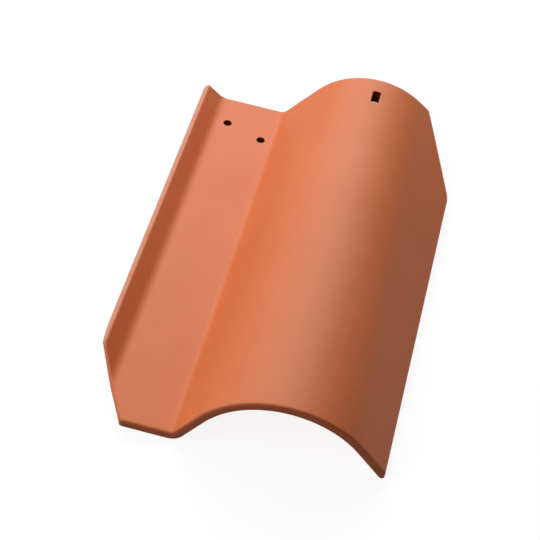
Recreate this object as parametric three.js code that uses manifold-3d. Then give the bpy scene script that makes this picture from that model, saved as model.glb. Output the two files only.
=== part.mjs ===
import * as THREE from "three";
import { mergeVertices } from "three/addons/utils/BufferGeometryUtils.js";
import Module from "manifold-3d";

// One-piece clay Spanish roof tile: a turned-up flange, a flat pan and a barrel roll in one wall of clay.
// Millimetres, +Z up. The tile's own frame has its butt at y = 0 and its head at +Y, the pan's top at
// z = 0 and the valley between pan and roll at x = 0, with the roll on the right, towards +X.

// Overall sizes
const tileLength = 466.7;
const wall = 9;
const edgeRadius = 3;

// Flat pan, and the flange that turns up along its left side as a water lock
const panWidth = 67.4;
const flangeSlopeLength = 22.6;
const flangeAngle = 37;
const foldRadius = 15;

// Barrel roll, measured on its top surface from the valley
const rollWidth = 192;
const rollHeight = 73.8;
const coverEdgeHeight = 20;
const valleyRadius = 8;

// Slopes of the roll's two straight flanks, in degrees from the pan, at the butt and at the head
const buttRisingAngle = 57;
const buttCoverAngle = 47;
const headRisingAngle = 53;
const headCoverAngle = 36.5;

// Clipped corners, at the head on the roll side and at the butt on the flange side, where a
// second and steeper clip eases the corner that the first one leaves at the rim
const rollClip = { width: 40, length: 92 };
const flangeClip = { width: 42.7, length: 84.3 };
const rimClip = { width: 15.5, length: 96 };

// Round nail holes in the pan, by their distance from the valley and from the head edge
const nailHoleDiameter = 8;
const innerNailHole = { fromValley: 13.5, fromHead: 54.4 };
const outerNailHole = { fromValley: 53, fromHead: 40.4 };

// Tie slot through the crown of the roll, whose wall on the head side slants by this many degrees
const slotWidth = 7.4;
const slotLength = 17.2;
const slotSlant = 39;
const slotFromValley = 94.8;
const slotFromHead = 30;

// Fineness of the facets
const foldSteps = 6;
const valleySteps = 7;
const rollSteps = 30;
const edgeSteps = 4;
const lengthSteps = 8;
const holeSteps = 24;

const radians = THREE.MathUtils.degToRad;
const mix = THREE.MathUtils.lerp;

// Upward normal of the wall's top face where it slopes by the given angle
function upNormal(angle) {
  return new THREE.Vector2(Math.sin(angle), Math.cos(angle));
}

// Sizes of the roll's section, where share runs from 0 at the butt to 1 at the head.
// The crown is the one arc that touches both flanks and the roll's full height.
function rollSection(share) {
  const rising = radians(mix(buttRisingAngle, headRisingAngle, share));
  const cover = radians(mix(buttCoverAngle, headCoverAngle, share));
  const flankRuns = rollHeight / Math.tan(rising) + (rollHeight - coverEdgeHeight) / Math.tan(cover);
  const radius = (rollWidth - flankRuns) / (Math.tan(rising / 2) + Math.tan(cover / 2));
  const centreX = rollHeight / Math.tan(rising) + radius * Math.tan(rising / 2);
  const centre = new THREE.Vector2(centreX, rollHeight - radius);
  return { rising, cover, radius, centre };
}

// Points of an arc as the wall's top face follows it, each with its normal.
// A bend that cups upwards has a negative radius.
function arcStations(centre, radius, fromAngle, toAngle, steps) {
  const stations = [];
  for (let i = 0; i <= steps; i += 1) {
    const normal = upNormal(mix(fromAngle, toAngle, i / steps));
    stations.push({ point: centre.clone().addScaledVector(normal, radius), normal });
  }
  return stations;
}

// Centre of the fillet between the level pan and a slope that rises from the given corner
function panFilletCentre(cornerX, side, slope, radius) {
  return new THREE.Vector2(cornerX + side * radius * Math.tan(slope / 2), radius);
}

// Outer end of the flange's top face, where its sharp corner would be
function rimCorner() {
  const slope = radians(flangeAngle);
  const x = -panWidth - flangeSlopeLength * Math.cos(slope);
  return new THREE.Vector2(x, flangeSlopeLength * Math.sin(slope));
}

// Radius of the rounded corners of a section, which tightens as the section shrinks at the tile's ends
function cornerRadius(inset) {
  const tightening = 0.75;
  return edgeRadius - tightening * inset;
}

// The flange's rim, cut square to its slope, as pairs of top and bottom points from its tip inwards
function rimPairs(inset) {
  const radius = cornerRadius(inset);
  const slope = radians(flangeAngle);
  const normal = upNormal(slope);
  const outward = new THREE.Vector2(-Math.cos(slope), Math.sin(slope));
  const pairs = [];
  for (let i = 0; i <= edgeSteps; i += 1) {
    const turn = (Math.PI / 2) * (i / edgeSteps);
    const along = radius * Math.cos(turn) - radius - inset;
    const across = radius * Math.sin(turn) - radius - inset;
    const tip = rimCorner().addScaledVector(outward, along);
    const top = tip.clone().addScaledVector(normal, across);
    const bottom = tip.clone().addScaledVector(normal, -wall - across);
    pairs.push({ top, bottom });
  }
  return pairs;
}

// Centre of a rounding beside the plumb cut of the cover edge, at a depth below the flank's top face
function coverEdgeCentre(cover, reach, depth) {
  const height = coverEdgeHeight + reach * Math.tan(cover) - depth / Math.cos(cover);
  return new THREE.Vector2(rollWidth - reach, height);
}

// The cover edge, cut plumb, as pairs of top and bottom points from the flank to its tip
function coverEdgePairs(cover, inset) {
  const radius = cornerRadius(inset);
  const reach = radius + inset;
  const topCentre = coverEdgeCentre(cover, reach, reach);
  const bottomCentre = coverEdgeCentre(cover, reach, wall - reach);
  const pairs = [];
  for (let i = 0; i <= edgeSteps; i += 1) {
    const topTurn = mix(cover, Math.PI / 2, i / edgeSteps);
    const bottomTurn = mix(cover + Math.PI, Math.PI / 2, i / edgeSteps);
    const top = topCentre.clone().addScaledVector(upNormal(topTurn), radius);
    const bottom = bottomCentre.clone().addScaledVector(upNormal(bottomTurn), radius);
    pairs.push({ top, bottom });
  }
  return pairs;
}

// One section across the tile as pairs of top and bottom points, from the rim to the cover edge
function sectionPairs(share, inset) {
  const roll = rollSection(share);
  const slope = radians(flangeAngle);
  const foldCentre = panFilletCentre(-panWidth, 1, slope, foldRadius);
  const valleyCentre = panFilletCentre(0, -1, roll.rising, valleyRadius);
  const stations = [
    ...arcStations(foldCentre, -foldRadius, slope, 0, foldSteps),
    ...arcStations(valleyCentre, -valleyRadius, 0, -roll.rising, valleySteps),
    ...arcStations(roll.centre, roll.radius, -roll.rising, roll.cover, rollSteps),
  ];
  const body = stations.map(({ point, normal }) => ({
    top: point.clone().addScaledVector(normal, -inset),
    bottom: point.clone().addScaledVector(normal, inset - wall),
  }));
  return [...rimPairs(inset), ...body, ...coverEdgePairs(roll.cover, inset)];
}

// Places along the tile with how far the section shrinks there to round the butt and head edges
function lengthStations() {
  const butt = [];
  for (let i = 0; i <= edgeSteps; i += 1) {
    const turn = (Math.PI / 2) * (i / edgeSteps);
    butt.push({ y: edgeRadius * (1 - Math.cos(turn)), inset: edgeRadius * (1 - Math.sin(turn)) });
  }
  const middle = [];
  for (let i = 1; i < lengthSteps; i += 1) {
    middle.push({ y: tileLength * (i / lengthSteps), inset: 0 });
  }
  const head = butt.map(({ y, inset }) => ({ y: tileLength - y, inset })).reverse();
  return [...butt, ...middle, ...head];
}

// The wall before anything is cut from it, as one closed skin over the sections
function wallGeometry() {
  const stations = lengthStations();
  const rings = stations.map(({ y, inset }) => {
    const pairs = sectionPairs(y / tileLength, inset);
    const top = pairs.map((pair) => [pair.top.x, y, pair.top.y]);
    const bottom = pairs.map((pair) => [pair.bottom.x, y, pair.bottom.y]).reverse();
    return [...top, ...bottom];
  });
  const ringSize = rings[0].length;
  const indices = [];
  const quad = (a, b, c, d) => indices.push(a, b, c, a, c, d);
  for (let ring = 0; ring + 1 < rings.length; ring += 1) {
    for (let i = 0; i < ringSize; i += 1) {
      const next = (i + 1) % ringSize;
      const here = ring * ringSize;
      quad(here + i, here + next, here + ringSize + next, here + ringSize + i);
    }
  }
  const headStart = (rings.length - 1) * ringSize;
  for (let i = 0; i + 1 < ringSize / 2; i += 1) {
    const across = ringSize - 1 - i;
    quad(i, across, across - 1, i + 1);
    quad(headStart + i, headStart + i + 1, headStart + across - 1, headStart + across);
  }
  const geometry = new THREE.BufferGeometry();
  geometry.setAttribute("position", new THREE.Float32BufferAttribute(rings.flat(2), 3));
  geometry.setIndex(indices);
  return geometry;
}

// Height and middle of a cutter that passes through the whole tile
const cutterHeight = 2 * (rollHeight + wall);
const cutterMiddle = (rollHeight - wall) / 2;

// Wedge that clips a corner in plan, where side is -1 on the left and end is -1 at the butt
function clipCutter(cornerX, cornerY, side, end, { width, length }) {
  const overrun = 0.5;
  const nearX = cornerX - side * width * (1 + overrun);
  const farX = cornerX + side * width * overrun;
  const nearY = cornerY + end * length * overrun;
  const farY = cornerY - end * length * (1 + overrun);
  const corners = [new THREE.Vector2(nearX, nearY), new THREE.Vector2(farX, nearY), new THREE.Vector2(farX, farY)];
  const geometry = new THREE.ExtrudeGeometry(new THREE.Shape(corners), { depth: cutterHeight, bevelEnabled: false });
  return geometry.translate(0, 0, cutterMiddle - cutterHeight / 2);
}

// Round cutter for a nail hole
function nailCutter({ fromValley, fromHead }) {
  const radius = nailHoleDiameter / 2;
  const geometry = new THREE.CylinderGeometry(radius, radius, cutterHeight, holeSteps);
  return geometry.rotateX(Math.PI / 2).translate(-fromValley, tileLength - fromHead, cutterMiddle);
}

// Cutter for the slot in the crown, from its outline seen from the side, with its length given at the crown
function slotCutter() {
  const reach = 1.5 * wall;
  const slant = reach * Math.tan(radians(slotSlant));
  const buttEnd = -slotLength / 2;
  const headEnd = slotLength / 2;
  const outline = new THREE.Shape([
    new THREE.Vector2(buttEnd, -reach),
    new THREE.Vector2(headEnd - slant, -reach),
    new THREE.Vector2(headEnd + slant, reach),
    new THREE.Vector2(buttEnd, reach),
  ]);
  const geometry = new THREE.ExtrudeGeometry(outline, { depth: slotWidth, bevelEnabled: false });
  const along = new THREE.Vector3(0, 1, 0);
  const up = new THREE.Vector3(0, 0, 1);
  const across = new THREE.Vector3(1, 0, 0);
  geometry.applyMatrix4(new THREE.Matrix4().makeBasis(along, up, across));
  return geometry.translate(slotFromValley - slotWidth / 2, tileLength - slotFromHead, rollHeight);
}

// Lean of the tile when the valley's underside and the cover edge both touch the ground.
// The cover edge reaches lowest at the butt, where its flank is steepest.
function restLean() {
  const roll = rollSection(0);
  const valleyCentre = panFilletCentre(0, -1, roll.rising, valleyRadius);
  const valleyReach = valleyRadius + wall;
  const edgeCentre = coverEdgeCentre(roll.cover, edgeRadius, wall - edgeRadius);
  const span = edgeCentre.sub(valleyCentre);
  return span.angle() + Math.asin((valleyReach - edgeRadius) / span.length());
}

const wasm = await Module();
wasm.setup();

// Closed solid from a mesh whose shared vertices are merged
function toSolid(geometry) {
  const bare = geometry.clone();
  bare.deleteAttribute("normal");
  bare.deleteAttribute("uv");
  const merged = mergeVertices(bare);
  return new wasm.Manifold(new wasm.Mesh({
    numProp: 3,
    vertProperties: new Float32Array(merged.attributes.position.array),
    triVerts: new Uint32Array(merged.index.array),
  }));
}

// Mesh geometry from a closed solid
function toGeometry(solid) {
  const { vertProperties, triVerts } = solid.getMesh();
  const geometry = new THREE.BufferGeometry();
  geometry.setAttribute("position", new THREE.BufferAttribute(new Float32Array(vertProperties), 3));
  geometry.setIndex(new THREE.BufferAttribute(new Uint32Array(triVerts), 1));
  geometry.computeVertexNormals();
  return geometry;
}

// The finished tile in its own frame
function tileGeometry() {
  const rimLeft = rimCorner().x - wall * Math.sin(radians(flangeAngle));
  const cutters = [
    clipCutter(rollWidth, tileLength, 1, 1, rollClip),
    clipCutter(rimLeft, 0, -1, -1, flangeClip),
    clipCutter(rimLeft, 0, -1, -1, rimClip),
    nailCutter(innerNailHole),
    nailCutter(outerNailHole),
    slotCutter(),
  ];
  let solid = toSolid(wallGeometry());
  for (const cutter of cutters) {
    solid = solid.subtract(toSolid(cutter));
  }
  return toGeometry(solid);
}

const clay = new THREE.MeshStandardMaterial({ color: 0xd58a66, roughness: 0.9, metalness: 0, flatShading: true });
const tile = new THREE.Mesh(tileGeometry(), clay);
tile.name = "roof_tile";

// The tile lies on the ground, with the origin under the middle of its outline
const lying = new THREE.Group();
lying.rotation.y = restLean();
lying.add(tile);
const extent = new THREE.Box3().setFromObject(lying, true);
const middle = extent.getCenter(new THREE.Vector3());
lying.position.set(-middle.x, -middle.y, -extent.min.z);

const part = new THREE.Group();
part.add(lying);

export default part;
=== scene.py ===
"""A one-piece clay Spanish roof tile on a pale studio floor. Metres, +Z up."""

import logging
import math
from collections.abc import Sequence
from dataclasses import dataclass, field, replace
from enum import Enum
from typing import ClassVar

import bpy
import numpy as np
from mathutils import Euler, Matrix, Vector, noise


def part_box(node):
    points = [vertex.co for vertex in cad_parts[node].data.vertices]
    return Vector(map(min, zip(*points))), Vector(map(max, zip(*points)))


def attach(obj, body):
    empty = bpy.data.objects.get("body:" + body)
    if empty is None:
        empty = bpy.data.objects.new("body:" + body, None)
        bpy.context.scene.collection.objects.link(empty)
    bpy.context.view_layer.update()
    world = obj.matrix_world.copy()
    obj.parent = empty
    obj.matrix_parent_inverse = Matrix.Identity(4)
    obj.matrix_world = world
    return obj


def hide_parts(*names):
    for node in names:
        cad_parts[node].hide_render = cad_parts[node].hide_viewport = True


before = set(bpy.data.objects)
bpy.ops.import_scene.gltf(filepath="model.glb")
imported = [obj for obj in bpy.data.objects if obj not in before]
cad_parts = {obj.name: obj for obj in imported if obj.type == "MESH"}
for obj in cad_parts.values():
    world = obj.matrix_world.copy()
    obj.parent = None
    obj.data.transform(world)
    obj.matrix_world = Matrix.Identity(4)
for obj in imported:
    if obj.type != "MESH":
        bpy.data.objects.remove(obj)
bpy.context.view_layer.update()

log = logging.getLogger("roof_tile")

MM = 0.001
QUARTER_TURN = math.pi / 2

Value = float | np.ndarray
SectionPoints = tuple[np.ndarray, np.ndarray, np.ndarray]
Colour = tuple[float, float, float]


class Side(Enum):
    """The two faces of the tile's wall."""

    TOP = "top"
    BOTTOM = "bottom"


@dataclass(frozen=True)
class Clip:
    """A straight cut across a corner, by its reach along the tile's end and along its side."""

    width: float
    length: float

    def from_end(self, from_side: np.ndarray, distance: np.ndarray) -> np.ndarray:
        """Return how far from the tile's end a line lies that runs inside the cut.

        Args:
            from_side: How far the wanted points lie from the tile's side, in plan.
            distance: How far inside the cut the line runs, shaped as from_side.

        Returns:
            Distances from the end, shaped as from_side.
        """
        steepness = self.length / self.width
        return (self.width - from_side) * steepness + distance * math.hypot(1, steepness)


@dataclass(frozen=True)
class TileSizes:
    """Driving sizes of the tile, in metres and degrees."""

    length: float = 466.7 * MM
    wall: float = 9.0 * MM
    edge_radius: float = 3.0 * MM
    edge_tightening: float = 0.75
    pan_width: float = 67.4 * MM
    flange_slope_length: float = 22.6 * MM
    flange_angle: float = 37.0
    fold_radius: float = 15.0 * MM
    roll_width: float = 192.0 * MM
    roll_height: float = 73.8 * MM
    cover_edge_height: float = 20.0 * MM
    valley_radius: float = 8.0 * MM
    butt_rising_angle: float = 57.0
    butt_cover_angle: float = 47.0
    head_rising_angle: float = 53.0
    head_cover_angle: float = 36.5
    roll_clip: Clip = Clip(40.0 * MM, 92.0 * MM)
    flange_clip: Clip = Clip(42.7 * MM, 84.3 * MM)
    rim_clip: Clip = Clip(15.5 * MM, 96.0 * MM)

    def rim_corner(self) -> np.ndarray:
        """Work out the flange's upper corner, as if its edges were sharp.

        Returns:
            Its x and z.
        """
        slope = math.radians(self.flange_angle)
        across = -self.pan_width - self.flange_slope_length * math.cos(slope)
        return np.array([across, self.flange_slope_length * math.sin(slope)])


@dataclass(frozen=True)
class Cutout:
    """A hole through the wall, as a rounded rectangle seen from above the pan.

    A round hole has a corner radius of half its width. The slant is that of its wall on the head
    side, in degrees from upright.
    """

    name: str
    from_valley: float
    from_head: float
    width: float
    length: float
    corner_radius: float
    lip_radius: float
    slant: float = 0.0

    def on_face(self, side: Side, wall: float) -> "Cutout":
        """Return the hole as it opens in one face of a wall, shorter below where it slants.

        Args:
            side: The face.
            wall: The wall's thickness.

        Returns:
            The hole at that face.
        """
        if side is Side.TOP:
            return self
        shift = wall * math.tan(math.radians(self.slant))
        return replace(self, length=self.length - shift, from_head=self.from_head + shift / 2)

    def centre(self, sizes: TileSizes) -> np.ndarray:
        """Return the hole's centre in the tile's own plan."""
        return np.array([self.from_valley, sizes.length - self.from_head])

    def at_distance(self, plan: np.ndarray, sizes: TileSizes, distance: float) -> np.ndarray:
        """Pull points of the plan to a given distance outside the hole's wall.

        Args:
            plan: Points around the hole, one x and y a row.
            sizes: The tile's driving sizes.
            distance: How far outside the wall the points come to lie.

        Returns:
            The moved points, one x and y a row.
        """
        core = self.core(plan, sizes)
        away = plan - core
        away /= np.linalg.norm(away, axis=1, keepdims=True)
        return core + away * (self.corner_radius + distance)

    def core(self, plan: np.ndarray, sizes: TileSizes) -> np.ndarray:
        """Return the nearest points of the hole's core, which its corner radius surrounds.

        Args:
            plan: Points of the plan, one x and y a row.
            sizes: The tile's driving sizes.

        Returns:
            Points of the core, one x and y a row.
        """
        centre = self.centre(sizes)
        reach = np.array([self.width, self.length]) / 2 - self.corner_radius
        return centre + np.clip(plan - centre, -reach, reach)

    def distance(self, plan: np.ndarray, sizes: TileSizes) -> np.ndarray:
        """Return how far outside the hole's wall points of the plan lie."""
        return np.linalg.norm(plan - self.core(plan, sizes), axis=1) - self.corner_radius


@dataclass(frozen=True)
class RollForm:
    """The roll's flank angles, crown radius, crown centre and cover flank, place by place."""

    rising: np.ndarray
    cover: np.ndarray
    radius: np.ndarray
    centre_x: np.ndarray
    centre_z: np.ndarray
    cover_flank: np.ndarray

    def crown_at(self, angle: np.ndarray) -> tuple[np.ndarray, np.ndarray]:
        """Return x and z where the crown's arc reaches an angle from vertical."""
        return self.centre_x + self.radius * np.sin(angle), self.centre_z + self.radius * np.cos(angle)


@dataclass
class SectionCurve:
    """The line of the wall's top face across the tile, at any place along its length.

    A position on it is one number: its whole part names a stretch, from the flange's slope at 0
    to the cover flank at 6, and the rest is how far along that stretch it lies.
    """

    sizes: TileSizes
    stretches: int = 7
    halvings: int = 40
    end_gap: float = 1e-9

    def roll(self, share: np.ndarray) -> RollForm:
        """Return the roll's form.

        Args:
            share: Places along the tile, 0 at the butt and 1 at the head.

        Returns:
            The form, with arrays shaped as share.
        """
        s = self.sizes
        rising = np.radians(s.butt_rising_angle + (s.head_rising_angle - s.butt_rising_angle) * share)
        cover = np.radians(s.butt_cover_angle + (s.head_cover_angle - s.butt_cover_angle) * share)
        rise, fall = s.roll_height, s.roll_height - s.cover_edge_height
        runs = rise / np.tan(rising) + fall / np.tan(cover)
        radius = (s.roll_width - runs) / (np.tan(rising / 2) + np.tan(cover / 2))
        centre_x = rise / np.tan(rising) + radius * np.tan(rising / 2)
        cover_flank = (fall - radius * (1 - np.cos(cover))) / np.sin(cover)
        return RollForm(rising, cover, radius, centre_x, rise - radius, cover_flank)

    @staticmethod
    def straight(
        start: Sequence[Value], end: Sequence[Value], angle: Value, along: np.ndarray
    ) -> SectionPoints:
        """Return a straight stretch between two points.

        Args:
            start: The first point's x and z.
            end: The last point's x and z.
            angle: The normal's angle from vertical.
            along: How far along the stretch each place lies, from 0 to 1.

        Returns:
            Arrays x, z and angle, shaped as along.
        """
        x, z = (first + (last - first) * along for first, last in zip(start, end))
        return x, z, angle + 0 * along

    @staticmethod
    def arc(
        centre: Sequence[Value], radius: Value, turn: Sequence[Value], along: np.ndarray
    ) -> SectionPoints:
        """Return a stretch that is an arc.

        Args:
            centre: The centre's x and z.
            radius: The radius, negative where the arc cups upwards.
            turn: The normal's angles from vertical at the arc's start and end.
            along: How far along the stretch each place lies, from 0 to 1.

        Returns:
            Arrays x, z and angle, shaped as along.
        """
        angle = turn[0] + (turn[1] - turn[0]) * along
        return centre[0] + radius * np.sin(angle), centre[1] + radius * np.cos(angle), angle

    def top_line(self, position: np.ndarray, share: np.ndarray) -> SectionPoints:
        """Return x, z and the normal's angle from vertical on the wall's top face.

        Args:
            position: Positions across the tile.
            share: Places along the tile, shaped as position.

        Returns:
            Arrays x, z and angle, shaped as position. The angle is positive towards +X.
        """
        s = self.sizes
        roll = self.roll(share)
        slope = math.radians(s.flange_angle)
        fold_run = s.fold_radius * math.tan(slope / 2)
        valley_run = s.valley_radius * np.tan(roll.rising / 2)
        stretch = np.clip(np.floor(position), 0, self.stretches - 1)
        along = position - stretch
        fold_start = (-s.pan_width - fold_run * math.cos(slope), fold_run * math.sin(slope))
        fold_end = -s.pan_width + fold_run
        flank_start = (valley_run * np.cos(roll.rising), valley_run * np.sin(roll.rising))
        cover_edge = (s.roll_width, s.cover_edge_height)
        parts = [
            self.straight(s.rim_corner(), fold_start, slope, along),
            self.arc((fold_end, s.fold_radius), -s.fold_radius, (slope, 0.0), along),
            self.straight((fold_end, 0.0), (-valley_run, 0.0), 0.0, along),
            self.arc((-valley_run, s.valley_radius), -s.valley_radius, (0.0, -roll.rising), along),
            self.straight(flank_start, roll.crown_at(-roll.rising), -roll.rising, along),
            self.arc((roll.centre_x, roll.centre_z), roll.radius, (-roll.rising, roll.cover), along),
            self.straight(roll.crown_at(roll.cover), cover_edge, roll.cover, along),
        ]
        chosen = [stretch == i for i in range(self.stretches)]
        return tuple(np.select(chosen, [part[axis] for part in parts]) for axis in range(3))

    def surface(
        self, side: Side, position: np.ndarray, y: np.ndarray, depth: np.ndarray
    ) -> np.ndarray:
        """Return points on one face of the wall, or a little inside it.

        Args:
            side: The face.
            position: Positions across the tile.
            y: Places along the tile in metres, shaped as position.
            depth: How far inside the face each point lies, shaped as position.

        Returns:
            Points, with a last axis of x, y and z.
        """
        x, z, angle = self.top_line(position, y / self.sizes.length)
        inward = depth if side is Side.TOP else self.sizes.wall - depth
        return np.stack([x - inward * np.sin(angle), y, z - inward * np.cos(angle)], axis=-1)

    def position_at(self, side: Side, x: np.ndarray, y: np.ndarray) -> np.ndarray:
        """Return the positions across the tile that lie at the given x.

        Args:
            side: The face of the wall.
            x: Plan distances from the valley.
            y: Places along the tile, shaped as x.

        Returns:
            Positions, shaped as x.
        """
        low, high = np.zeros_like(x), np.full_like(x, self.stretches - self.end_gap)
        for _ in range(self.halvings):
            middle = (low + high) / 2
            left = self.surface(side, middle, y, np.zeros_like(x))[..., 0] < x
            low, high = np.where(left, middle, low), np.where(left, high, middle)
        return (low + high) / 2


@dataclass
class MeshDraft:
    """Vertices and faces collected before they become a mesh."""

    points: list[np.ndarray] = field(default_factory=list)
    faces: list[tuple[int, ...]] = field(default_factory=list)
    count: int = 0

    def add(self, points: np.ndarray) -> np.ndarray:
        """Add points.

        Args:
            points: The points, with a last axis of x, y and z.

        Returns:
            Their indices, shaped as the points without that axis.
        """
        flat = points.reshape(-1, 3)
        self.points.append(flat)
        first, self.count = self.count, self.count + len(flat)
        return np.arange(first, self.count).reshape(points.shape[:-1])

    def band(self, first: np.ndarray, second: np.ndarray) -> None:
        """Join two loops of vertices with quads.

        Args:
            first: One loop's vertex indices.
            second: The next loop's, as many, to the left of the first when walking along it.
        """
        corners = (first, np.roll(first, -1), np.roll(second, -1), second)
        self.faces.extend(zip(*corners))


@dataclass(frozen=True)
class Relief:
    """How the fired surface strays from the true form: a slow sway, drag lines along it, small pits.

    The cells are those of the noise in a metre, across and along the tile where there are two. Each
    offset picks a part of the noise.
    """

    skin_inset: float = 0.1 * MM
    sway_height: float = 0.125 * MM
    sway_cells: tuple[float, float] = (14, 5)
    sway_offset: float = 3.7
    drag_height: float = 0.07 * MM
    drag_cells: tuple[float, float] = (420, 4)
    drag_offset: float = 11.3
    pit_depth: float = 0.12 * MM
    pit_cells: float = 260
    pit_level: float = 0.42
    pit_offset: tuple[float, float, float] = (5.1, 2.3, 7.9)

    @staticmethod
    def ripple(across: float, along: float, cells: tuple[float, float], offset: float) -> float:
        """Return a smooth noise between 0 and 1.

        Args:
            across: The place across the tile, in metres.
            along: The place along it.
            cells: Cells of the noise in a metre, across and along.
            offset: The part of the noise to use.

        Returns:
            The noise there.
        """
        return noise.noise(Vector((across * cells[0], along * cells[1], offset))) * 0.5 + 0.5

    def depth(self, point: np.ndarray) -> float:
        """Return how far the fired surface lies inside the true form at a point.

        Args:
            point: A point of the tile in its own frame.

        Returns:
            A depth in metres, never negative.
        """
        across, along = point[0] + point[2], point[1]
        sway = self.ripple(across, along, self.sway_cells, self.sway_offset) * self.sway_height
        drag = self.ripple(across, along, self.drag_cells, self.drag_offset) * self.drag_height
        cell = noise.noise(Vector(point) * self.pit_cells + Vector(self.pit_offset))
        pit = max(0.0, cell - self.pit_level) / (1 - self.pit_level) * self.pit_depth
        return self.skin_inset + sway + drag + pit


@dataclass
class TileBody:
    """The tile's wall as one fine closed mesh, with its edges, holes and clipped corners rounded."""

    sizes: TileSizes = field(default_factory=TileSizes)
    cutouts: tuple[Cutout, ...] = (
        Cutout("inner_nail_hole", -13.5 * MM, 54.4 * MM, 8 * MM, 8 * MM, 4 * MM, 0.8 * MM),
        Cutout("outer_nail_hole", -53 * MM, 40.4 * MM, 8 * MM, 8 * MM, 4 * MM, 0.8 * MM),
        Cutout("crown_slot", 94.8 * MM, 30 * MM, 7.4 * MM, 17.2 * MM, 1.2 * MM, 0.8 * MM, slant=39),
    )
    stretch_steps: tuple[int, ...] = (8, 8, 25, 10, 18, 64, 20)
    length_steps: int = 170
    edge_steps: int = 5
    cutout_margin: float = 4.5 * MM
    cutout_rings: int = 3
    lip_steps: int = 4
    wall_steps: int = 4
    fitting_rounds: int = 6
    relief: Relief = Relief()
    # Painted shade: how dark the cut faces and the surfaces that face down are painted.
    cut_face_painted_shade: float = 0.62
    underside_painted_shade: float = 0.6
    under_start: float = 0.5
    curve: SectionCurve = field(init=False)

    def __post_init__(self) -> None:
        """Set up the section line."""
        self.curve = SectionCurve(self.sizes)

    def edge_turns(self) -> np.ndarray:
        """Return how far round a rounding its rows lie, from 1 at the cut face to 0 at the broad one."""
        return np.linspace(1, 0, self.edge_steps + 1)

    def column_layout(self) -> tuple[np.ndarray, np.ndarray, np.ndarray]:
        """Return each column's position and how far round the rim or the cover edge it lies.

        Returns:
            Positions across the tile, then turns round the rim and round the cover edge, from 1 at
            the cut face to 0 at the broad face, and nan for columns that the edge doesn't round.
        """
        turns = self.edge_turns()
        inner = []
        for stretch, steps in enumerate(self.stretch_steps):
            inner.extend(stretch + i / steps for i in range(steps))
        inner = np.array(inner[1:])
        none = np.full(len(inner), np.nan)
        no_turns = np.full_like(turns, np.nan)
        positions = np.concatenate([0 * turns, inner, 0 * turns + self.curve.stretches])
        rim = np.concatenate([turns, none, no_turns])
        cover = np.concatenate([no_turns, none, turns[::-1]])
        return positions, rim, cover

    def bound_rows(self, x: np.ndarray, distance: np.ndarray) -> tuple[np.ndarray, np.ndarray]:
        """Return where the tile starts and ends along its length, at a distance inside its outline.

        Args:
            x: Plan distances from the valley.
            distance: Distances inside the outline, shaped as x.

        Returns:
            The least and greatest y, shaped as x.
        """
        s = self.sizes
        from_rim = x - s.rim_corner()[0] + s.wall * math.sin(math.radians(s.flange_angle))
        start = np.maximum(distance, s.flange_clip.from_end(from_rim, distance))
        start = np.maximum(start, s.rim_clip.from_end(from_rim, distance))
        end = s.length - np.maximum(distance, s.roll_clip.from_end(s.roll_width - x, distance))
        return start, end

    def row_layout(self) -> tuple[np.ndarray, np.ndarray]:
        """Return how far each row turns round an end's rounding, and its share of the length.

        Returns:
            Turns in radians, 0 on the rows between the ends, then shares, 0 on all rows of the
            butt's rounding and 1 on those of the head's. Both are shaped rows, 1.
        """
        turns = self.edge_turns()
        middle = np.linspace(0, 1, self.length_steps + 1)[1:-1]
        turn = QUARTER_TURN * np.concatenate([turns, 0 * middle, turns[::-1]])
        share = np.concatenate([0 * turns, middle, 0 * turns + 1])
        return turn[:, None], share[:, None]

    def across_wall(self, side: Side, y: np.ndarray, inset: np.ndarray) -> tuple[np.ndarray, np.ndarray]:
        """Return where each point of a face lies across the tile, and how deep in the wall.

        Args:
            side: The face.
            y: Places along the tile, shaped rows, columns.
            inset: How deep the end's rounding takes each row, shaped rows, 1.

        Returns:
            Positions and depths, shaped as y.
        """
        s = self.sizes
        positions, rim, cover = self.column_layout()
        roll = self.curve.roll(y / s.length)
        rise, run = np.sin(roll.cover), np.cos(roll.cover)
        radius = s.edge_radius - s.edge_tightening * inset
        reach = inset + radius
        if side is Side.TOP:
            sweep, overhang = QUARTER_TURN - roll.cover, (rise - 1) / run * reach
        else:
            sweep, overhang = QUARTER_TURN + roll.cover, ((s.wall - reach) * rise - reach) / run
        start = reach / s.flange_slope_length
        tail = self.curve.stretches - 1
        end = self.curve.stretches + overhang / roll.cover_flank
        bend = np.where(np.isnan(rim), np.where(np.isnan(cover), 0, cover * sweep), rim * QUARTER_TURN)
        lean_out = radius * np.sin(bend)
        choices = [np.isfinite(rim), np.isfinite(cover), positions < 1, positions >= tail]
        places = [
            start - lean_out / s.flange_slope_length,
            end + lean_out / roll.cover_flank,
            start + positions * (1 - start),
            tail + (positions - tail) * (end - tail),
        ]
        chosen = [choice * np.ones_like(y, bool) for choice in choices]
        return np.select(chosen, places, positions + 0 * y), inset + radius * (1 - np.cos(bend))

    def face_grid(self, side: Side) -> np.ndarray:
        """Return one face of the wall as a grid of points, rows along the tile and columns across it.

        Each row's y depends on where its points lie across the tile and the other way round, so
        the two are settled in turn.

        Args:
            side: The face.

        Returns:
            Points shaped rows, columns, 3.
        """
        s = self.sizes
        row_turn, row_share = self.row_layout()
        is_middle = (row_share > 0) & (row_share < 1)
        is_butt = row_share == 0
        inset = s.edge_radius * (1 - np.cos(row_turn))
        inside = np.where(is_middle, s.edge_radius, s.edge_radius * (1 - np.sin(row_turn)))
        y = s.length * row_share * np.ones(len(self.column_layout()[0]))
        for _ in range(self.fitting_rounds):
            position, depth = self.across_wall(side, y, inset)
            points = self.curve.surface(side, position, y, depth)
            first, last = self.bound_rows(points[..., 0], inside)
            y = np.where(is_middle, first + (last - first) * row_share, np.where(is_butt, first, last))
        return self.curve.surface(side, position, y, depth)

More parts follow.
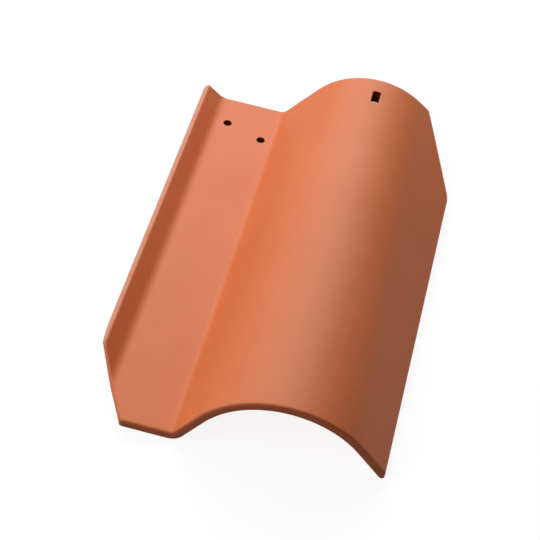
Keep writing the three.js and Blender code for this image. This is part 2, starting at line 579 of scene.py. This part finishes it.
    def cut_block(self, grid: np.ndarray, cutout: Cutout) -> tuple[slice, slice]:
        """Return the rows and columns of cells that make room for a hole.

        Args:
            grid: The top face's points.
            cutout: The hole.

        Returns:
            Slices of rows and columns of cells.
        """
        centre = cutout.centre(self.sizes)
        reach = np.array([cutout.width, cutout.length]) / 2 + self.cutout_margin
        near_y = np.argmin(np.abs(grid[:, grid.shape[1] // 2, 1] - centre[1]))
        columns = np.flatnonzero(np.abs(grid[near_y, :, 0] - centre[0]) < reach[0])
        middle_column = columns[len(columns) // 2]
        rows = np.flatnonzero(np.abs(grid[:, middle_column, 1] - centre[1]) < reach[1])
        return slice(rows[0], rows[-1]), slice(columns[0], columns[-1])

    def cut_rings(self, draft: MeshDraft, side: Side, cutout: Cutout, around: np.ndarray) -> np.ndarray:
        """Fill from the edge of the removed block to the hole's wall, with a rounded lip.

        Args:
            draft: The mesh so far.
            side: The face.
            cutout: The hole.
            around: Indices of the block's border, anticlockwise seen from above.

        Returns:
            Indices of the loop where the lip meets the hole's wall.
        """
        border = np.concatenate(draft.points)[around]
        cutout = cutout.on_face(side, self.sizes.wall)
        lip_outer = cutout.at_distance(border[:, :2], self.sizes, cutout.lip_radius)
        previous = around
        steps = [(border[:, :2] + (lip_outer - border[:, :2]) * (i / self.cutout_rings), 0.0)
                 for i in range(1, self.cutout_rings + 1)]
        for i in range(1, self.lip_steps + 1):
            turn = QUARTER_TURN * i / self.lip_steps
            distance = cutout.lip_radius * (1 - math.sin(turn))
            depth = cutout.lip_radius * (1 - math.cos(turn))
            steps.append((cutout.at_distance(border[:, :2], self.sizes, distance), depth))
        for plan, depth in steps:
            position = self.curve.position_at(side, plan[:, 0], plan[:, 1])
            points = self.curve.surface(side, position, plan[:, 1], np.zeros(len(plan)))
            points[:, 0] = plan[:, 0]
            points[:, 2] += -depth if side is Side.TOP else depth
            ring = draft.add(points)
            if side is Side.TOP:
                draft.band(previous, ring)
            else:
                draft.band(ring, previous)
            previous = ring
        return previous

    def draft(self) -> MeshDraft:
        """Draw up the whole closed skin of the wall.

        Returns:
            Its vertices and faces, in the tile's own frame.
        """
        draft = MeshDraft()
        grids = {side: self.face_grid(side) for side in Side}
        blocks = [self.cut_block(grids[Side.TOP], cutout) for cutout in self.cutouts]
        index = {side: draft.add(grids[side]) for side in Side}
        rows, columns = index[Side.TOP].shape
        kept = np.ones((rows - 1, columns - 1), bool)
        for block in blocks:
            kept[block] = False
        for side in Side:
            ids = index[side]
            corners = (ids[:-1, :-1], ids[:-1, 1:], ids[1:, 1:], ids[1:, :-1])
            for quad in zip(*(corner[kept] for corner in corners)):
                draft.faces.append(quad if side is Side.TOP else quad[::-1])
        self.join_edges(draft, index)
        for cutout, (row_span, column_span) in zip(self.cutouts, blocks):
            points_span = tuple(slice(span.start, span.stop + 1) for span in (row_span, column_span))
            loops = {}
            for side in Side:
                around = self.border(index[side][points_span])
                loops[side] = self.cut_rings(draft, side, cutout, around)
            self.join_loops(draft, loops[Side.TOP], loops[Side.BOTTOM])
            log.info("%s: cut through the wall", cutout.name)
        return draft

    @staticmethod
    def border(block: np.ndarray) -> np.ndarray:
        """Return the outer loop of a grid of indices, anticlockwise seen from above."""
        return np.concatenate([block[0, :-1], block[:-1, -1], block[-1, :0:-1], block[:0:-1, 0]])

    def join_edges(self, draft: MeshDraft, index: dict[Side, np.ndarray]) -> None:
        """Close the outer edge between the two faces.

        Args:
            draft: The mesh so far.
            index: Vertex indices of the two faces' grids.
        """
        self.join_loops(draft, self.border(index[Side.TOP])[::-1], self.border(index[Side.BOTTOM])[::-1])

    def join_loops(self, draft: MeshDraft, top: np.ndarray, bottom: np.ndarray) -> None:
        """Close the wall between a loop of the top face and one of the bottom face.

        Args:
            draft: The mesh so far.
            top: The top loop's indices, with the clay on the left when walking along it.
            bottom: The bottom loop's indices in the same order.
        """
        points = np.concatenate(draft.points)
        previous = top
        for step in range(1, self.wall_steps + 1):
            part = step / self.wall_steps
            ring = bottom
            if step < self.wall_steps:
                ring = draft.add(points[top] + (points[bottom] - points[top]) * part)
            draft.band(previous, ring)
            previous = ring

    def painted_shade(self, points: np.ndarray, upward: np.ndarray) -> np.ndarray:
        """Return the painted shade at each point, from 0 on the top face to 1 inside the holes.

        Args:
            points: Points in the tile's own frame.
            upward: How far the surface faces up there, from -1 to 1.

        Returns:
            Shares, one a point.
        """
        # Painted shade: darker on the cut faces near the ends, on surfaces that face down and on the
        # holes' walls.
        from_end = np.minimum(points[:, 1], self.sizes.length - points[:, 1])
        cut = np.clip(1 - from_end / self.sizes.edge_radius, 0, 1) * self.cut_face_painted_shade
        under = np.clip(self.under_start - upward, 0, 1) * self.underside_painted_shade
        dark = 1 - (1 - cut) * (1 - under)
        plan = points[:, :2]
        for cutout in self.cutouts:
            openings = [cutout.on_face(side, self.sizes.wall) for side in Side]
            away = np.minimum(*(opening.distance(plan, self.sizes) for opening in openings))
            dark = np.maximum(dark, np.clip(1 - away / cutout.lip_radius, 0, 1))
        return dark

    def rim_wear_and_highlight(self, points: np.ndarray) -> np.ndarray:
        """Return how pale the rim is at each point, from 0 to 1: rubbed, and partly a painted highlight.

        Args:
            points: Points in the tile's own frame.

        Returns:
            Shares, one a point.
        """
        # Pale rim: rubbed clay, and partly a painted highlight where the rim faces the light.
        slope = math.radians(self.sizes.flange_angle)
        outward = np.array([-math.cos(slope), math.sin(slope)])
        from_rim = (self.sizes.rim_corner() - points[:, [0, 2]]) @ outward
        return np.clip(1 - from_rim / self.sizes.edge_radius, 0, 1)

    def lean(self) -> float:
        """Work out how far the tile leans to its right when it lies on the ground.

        It rests on the underside of the valley and on the rounding under the cover edge.

        Returns:
            The angle in radians.
        """
        s = self.sizes
        cover, rising = math.radians(s.butt_cover_angle), math.radians(s.butt_rising_angle)
        valley = Vector((-s.valley_radius * math.tan(rising / 2), s.valley_radius))
        edge_height = s.cover_edge_height + s.edge_radius * math.tan(cover)
        edge_height -= (s.wall - s.edge_radius) / math.cos(cover)
        edge = Vector((s.roll_width - s.edge_radius, edge_height))
        span = edge - valley
        reach = s.valley_radius + s.wall - s.edge_radius
        return math.atan2(span.y, span.x) + math.asin(reach / span.length)

    def lean_turn(self) -> np.ndarray:
        """Return the lean as a turn about the tile's length."""
        return np.array(Matrix.Rotation(self.lean(), 3, "Y"))

    def place(self, points: np.ndarray) -> np.ndarray:
        """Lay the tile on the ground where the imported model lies.

        Args:
            points: Points in the tile's own frame.

        Returns:
            The same points in the row frame.
        """
        turned = points @ self.lean_turn().T
        low, high = (np.array(corner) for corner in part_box("roof_tile"))
        middle = (turned.min(0) + turned.max(0)) / 2
        shift = (low + high) / 2 - middle
        shift[2] = low[2] - turned[:, 2].min()
        return turned + shift

    def build(self, clay: bpy.types.Material) -> bpy.types.Object:
        """Make the tile's object.

        Args:
            clay: The material of the whole tile.

        Returns:
            The object, riding on the root body in place of the plain solid.
        """
        draft = self.draft()
        points = np.concatenate(draft.points)
        mesh = bpy.data.meshes.new("roof_tile_clay")
        mesh.from_pydata(points.tolist(), [], [tuple(int(i) for i in face) for face in draft.faces])
        mesh.validate()
        normals = np.empty(len(points) * 3, np.float32)
        mesh.vertices.foreach_get("normal", normals)
        normals = normals.reshape(-1, 3)
        depths = np.array([self.relief.depth(point) for point in points])
        placed = self.place(points) - (normals * depths[:, None]) @ self.lean_turn().T
        mesh.vertices.foreach_set("co", placed.astype(np.float32).ravel())
        # Painted shade, and the rim's pale rubbing that partly stands for a painted highlight, kept as
        # two mesh attributes.
        shades = {
            FiredClay.painted_shade_zone: self.painted_shade(points, normals[:, 2]),
            FiredClay.wear_and_highlight_zone: self.rim_wear_and_highlight(points),
        }
        for name, values in shades.items():
            zone = mesh.attributes.new(name, "FLOAT", "POINT")
            zone.data.foreach_set("value", values.astype(np.float32))
        mesh.update()
        mesh.shade_smooth()
        mesh.materials.append(clay)
        tile = bpy.data.objects.new("fired_clay_tile", mesh)
        bpy.context.scene.collection.objects.link(tile)
        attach(tile, "root")
        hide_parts("roof_tile")
        return tile


@dataclass(frozen=True)
class Grain:
    """A noise in the clay: its cells in a metre, and its layers of finer noise."""

    cells: float
    layers: float


@dataclass(frozen=True)
class ClayNodes:
    """A material's node tree, with the few steps that the clay's looks are made of."""

    tree: bpy.types.NodeTree
    coordinates: bpy.types.Node

    def noise(self, grain: Grain) -> bpy.types.NodeSocket:
        """Return a noise over the tile.

        Args:
            grain: The kind of noise.

        Returns:
            Its value's socket.
        """
        texture = self.tree.nodes.new("ShaderNodeTexNoise")
        texture.inputs["Scale"].default_value = grain.cells
        texture.inputs["Detail"].default_value = grain.layers
        self.tree.links.new(self.coordinates.outputs["Object"], texture.inputs["Vector"])
        return texture.outputs["Fac"]

    def zone(self, name: str) -> bpy.types.NodeSocket:
        """Return the share that the mesh holds under a name.

        Args:
            name: The mesh attribute's name.

        Returns:
            The share's socket.
        """
        attribute = self.tree.nodes.new("ShaderNodeAttribute")
        attribute.attribute_name = name
        return attribute.outputs["Fac"]

    def multiply_add(
        self,
        value: bpy.types.NodeSocket,
        factor: float | bpy.types.NodeSocket,
        offset: float | bpy.types.NodeSocket,
    ) -> bpy.types.NodeSocket:
        """Return a value times a factor, plus an offset.

        Args:
            value: The value.
            factor: A number or another value.
            offset: A number or another value.

        Returns:
            The result's socket.
        """
        node = self.tree.nodes.new("ShaderNodeMath")
        node.operation = "MULTIPLY_ADD"
        for given, socket in zip((value, factor, offset), node.inputs):
            if isinstance(given, float):
                socket.default_value = given
            else:
                self.tree.links.new(given, socket)
        return node.outputs[0]

    def share(self, value: bpy.types.NodeSocket, span: tuple[float, float]) -> bpy.types.NodeSocket:
        """Return a value's share of the way through a span, kept between 0 and 1.

        Args:
            value: The value.
            span: Where the share is 0 and where it is 1.

        Returns:
            The share's socket.
        """
        node = self.tree.nodes.new("ShaderNodeMapRange")
        node.inputs["From Min"].default_value, node.inputs["From Max"].default_value = span
        self.tree.links.new(value, node.inputs["Value"])
        return node.outputs["Result"]

    def ramp(self, share: bpy.types.NodeSocket, colours: tuple[Colour, ...]) -> bpy.types.NodeSocket:
        """Return a colour that goes through several in even steps as a share grows.

        Args:
            share: The share, from 0 to 1.
            colours: The colours in order.

        Returns:
            The colour's socket.
        """
        node = self.tree.nodes.new("ShaderNodeValToRGB")
        first, last = node.color_ramp.elements
        first.color, last.color = (*colours[0], 1), (*colours[-1], 1)
        for step, colour in enumerate(colours[1:-1], start=1):
            node.color_ramp.elements.new(step / (len(colours) - 1)).color = (*colour, 1)
        self.tree.links.new(share, node.inputs["Fac"])
        return node.outputs["Color"]

    def over(
        self,
        under: bpy.types.NodeSocket,
        colour: Colour,
        amount: bpy.types.NodeSocket,
    ) -> bpy.types.NodeSocket:
        """Return a colour laid over another by a varying amount.

        Args:
            under: The colour below.
            colour: The colour on top.
            amount: How much of it shows.

        Returns:
            The mixed colour's socket.
        """
        mix = self.tree.nodes.new("ShaderNodeMix")
        mix.data_type = "RGBA"
        amount_input, under_input, colour_input = (socket for socket in mix.inputs if socket.enabled)
        self.tree.links.new(amount, amount_input)
        self.tree.links.new(under, under_input)
        colour_input.default_value = (*colour, 1)
        return next(socket for socket in mix.outputs if socket.enabled)

    def bump(
        self, height: bpy.types.NodeSocket, strength: float, distance: float
    ) -> bpy.types.NodeSocket:
        """Return the tilt of the surface over small bumps.

        Args:
            height: The bumps' height, from 0 to 1.
            strength: How much of the tilt shows.
            distance: The greatest height in metres.

        Returns:
            The normal's socket.
        """
        node = self.tree.nodes.new("ShaderNodeBump")
        node.inputs["Strength"].default_value = strength
        node.inputs["Distance"].default_value = distance
        self.tree.links.new(height, node.inputs["Height"])
        return node.outputs["Normal"]


@dataclass(frozen=True)
class FiredClay:
    """Matte unglazed terracotta with a fine grain and faint clouds.

    It has sparse dark specks of grog. Painted shade darkens the cut faces, the underside and the
    holes' walls, and the flange's rim is rubbed pale, which partly stands for a painted highlight.
    The mesh says where, in two zones.
    """

    # Mesh attributes: painted shade, and the rim's rubbing that is partly a painted highlight.
    painted_shade_zone: ClassVar[str] = "painted_shade"
    wear_and_highlight_zone: ClassVar[str] = "rim_wear_and_highlight"

    name: str = "fired_clay"
    base: Colour = (0.58, 0.139, 0.039)
    pale: Colour = (0.60, 0.151, 0.046)
    deep: Colour = (0.56, 0.128, 0.034)
    speck: Colour = (0.42, 0.11, 0.040)
    # Pale rim colour: rubbed clay, and partly a painted highlight.
    worn_and_highlit: Colour = (0.54, 0.24, 0.155)
    # Painted shade colour, laid over the cut faces, the underside and the holes' walls.
    painted_shade_colour: Colour = (0.08, 0.012, 0.002)
    roughness: float = 0.6
    sheen_level: float = 0.44
    clouds: Grain = Grain(14, 3)
    sand: Grain = Grain(1400, 2)
    grog: Grain = Grain(420, 1)
    scuffs: Grain = Grain(60, 4)
    sand_weight: float = 0.6
    tone_span: tuple[float, float] = (0.5, 1.1)
    grog_span: tuple[float, float] = (0.70, 0.78)
    scuff_span: tuple[float, float] = (0.15, 0.65)
    bump_strength: float = 0.25
    bump_height: float = 0.2 * MM

    def build(self) -> bpy.types.Material:
        """Make the material.

        Returns:
            The material.
        """
        material = bpy.data.materials.new(self.name)
        material.use_nodes = True
        tree = material.node_tree
        steps = ClayNodes(tree, tree.nodes.new("ShaderNodeTexCoord"))
        shader = tree.nodes["Principled BSDF"]
        shader.inputs["Roughness"].default_value = self.roughness
        sand = steps.noise(self.sand)
        # Painted shade share; the specular level falls to 0 where it is full.
        dark = steps.zone(self.painted_shade_zone)
        sheen = steps.multiply_add(dark, -self.sheen_level, self.sheen_level)
        tilt = steps.bump(sand, self.bump_strength, self.bump_height)
        tree.links.new(self.colour(steps, sand, dark), shader.inputs["Base Color"])
        tree.links.new(sheen, shader.inputs["Specular IOR Level"])
        tree.links.new(tilt, shader.inputs["Normal"])
        return material

    def colour(
        self, steps: ClayNodes, sand: bpy.types.NodeSocket, dark: bpy.types.NodeSocket
    ) -> bpy.types.NodeSocket:
        """Return the clay's colour.

        Args:
            steps: The material's node tree.
            sand: The fine grain's value.
            dark: How much painted shade the clay takes.

        Returns:
            The colour's socket.
        """
        tone = steps.multiply_add(sand, self.sand_weight, steps.noise(self.clouds))
        body = steps.ramp(steps.share(tone, self.tone_span), (self.deep, self.base, self.pale))
        specks = steps.share(steps.noise(self.grog), self.grog_span)
        scuffed = steps.share(steps.noise(self.scuffs), self.scuff_span)
        # Rim: rubbed pale, and partly a painted highlight.
        wear_and_highlight = steps.multiply_add(steps.zone(self.wear_and_highlight_zone), scuffed, 0.0)
        worn_and_highlit = steps.over(steps.over(body, self.speck, specks), self.worn_and_highlit, wear_and_highlight)
        # Painted shade laid over everything else.
        return steps.over(worn_and_highlit, self.painted_shade_colour, dark)


@dataclass(frozen=True)
class SoftLight:
    """A round soft light that faces the tile."""

    name: str
    place: tuple[float, float, float]
    size: float
    power: float

    def build(self) -> bpy.types.Object:
        """Hang the light.

        Returns:
            The light.
        """
        data = bpy.data.lights.new(self.name, "AREA")
        data.shape = "DISK"
        data.size = self.size
        data.energy = self.power
        light = bpy.data.objects.new(self.name, data)
        light.location = self.place
        light.rotation_euler = (-Vector(self.place)).to_track_quat("-Z", "Y").to_euler()
        bpy.context.scene.collection.objects.link(light)
        return light


@dataclass(frozen=True)
class Studio:
    """The floor, the lights and the camera."""

    floor_size: float = 12.0
    floor_colour: Colour = (0.12, 0.12, 0.12)
    floor_roughness: float = 0.9
    floor_glow: float = 0.9
    white: Colour = (1.0, 1.0, 1.0)
    sky_strength: float = 0.02
    soft_lights: tuple[SoftLight, ...] = (
        SoftLight("left_front_light", (-1.3, -0.9, 1.4), 1.2, 21.5),
        SoftLight("left_back_light", (-1.1, 1.1, 1.5), 1.2, 20.0),
        SoftLight("back_light", (-0.1, 1.6, 1.4), 1.2, 33.5),
    )
    image_pixels: float = 540.0
    focal_pixels: float = 1711.0
    sensor: float = 36.0
    eye: tuple[float, float, float] = (0.2235, -1.1784, 1.1806)
    azimuth: float = 11.436
    elevation: float = 44.484
    tilt: float = 1.804

    def floor(self) -> bpy.types.Object:
        """Lay a plain floor at the ground's height, which glows a little as a light table does.

        Returns:
            The floor.
        """
        half = self.floor_size / 2
        mesh = bpy.data.meshes.new("studio_floor")
        corners = [(-half, -half, 0), (half, -half, 0), (half, half, 0), (-half, half, 0)]
        mesh.from_pydata(corners, [], [(0, 1, 2, 3)])
        material = bpy.data.materials.new("pale_floor")
        material.use_nodes = True
        shader = material.node_tree.nodes["Principled BSDF"]
        shader.inputs["Base Color"].default_value = (*self.floor_colour, 1)
        shader.inputs["Roughness"].default_value = self.floor_roughness
        shader.inputs["Specular IOR Level"].default_value = 0.0
        shader.inputs["Emission Color"].default_value = (*self.white, 1)
        shader.inputs["Emission Strength"].default_value = self.floor_glow
        mesh.materials.append(material)
        floor = bpy.data.objects.new("studio_floor", mesh)
        bpy.context.scene.collection.objects.link(floor)
        return floor

    def lights(self) -> None:
        """Set a faint even sky and the soft lights."""
        world = bpy.data.worlds.new("studio_sky")
        world.use_nodes = True
        background = world.node_tree.nodes["Background"]
        background.inputs["Color"].default_value = (*self.white, 1)
        background.inputs["Strength"].default_value = self.sky_strength
        bpy.context.scene.world = world
        bpy.context.scene.view_settings.view_transform = "Standard"
        for light in self.soft_lights:
            light.build()

    def camera(self) -> bpy.types.Object:
        """Set the camera at the photograph's viewpoint.

        Returns:
            The camera.
        """
        data = bpy.data.cameras.new("photo_camera")
        data.sensor_fit = "HORIZONTAL"
        data.sensor_width = self.sensor
        data.lens = self.sensor * self.focal_pixels / self.image_pixels
        camera = bpy.data.objects.new("photo_camera", data)
        camera.location = self.eye
        pitch = QUARTER_TURN - math.radians(self.elevation)
        aim = Euler((pitch, 0, math.radians(self.azimuth)), "XYZ").to_matrix()
        camera.rotation_euler = (aim @ Matrix.Rotation(math.radians(self.tilt), 3, "Z")).to_euler()
        bpy.context.scene.collection.objects.link(camera)
        bpy.context.scene.camera = camera
        return camera


def main() -> None:
    """Build the studio and the tile."""
    logging.basicConfig(level=logging.INFO, format="%(name)s: %(message)s")
    studio = Studio()
    studio.camera()
    studio.floor()
    studio.lights()
    log.info("studio: camera, floor and lights")
    tile = TileBody().build(FiredClay().build())
    log.info("%s: %d faces", tile.name, len(tile.data.polygons))


if __name__ == "__main__":
    main()
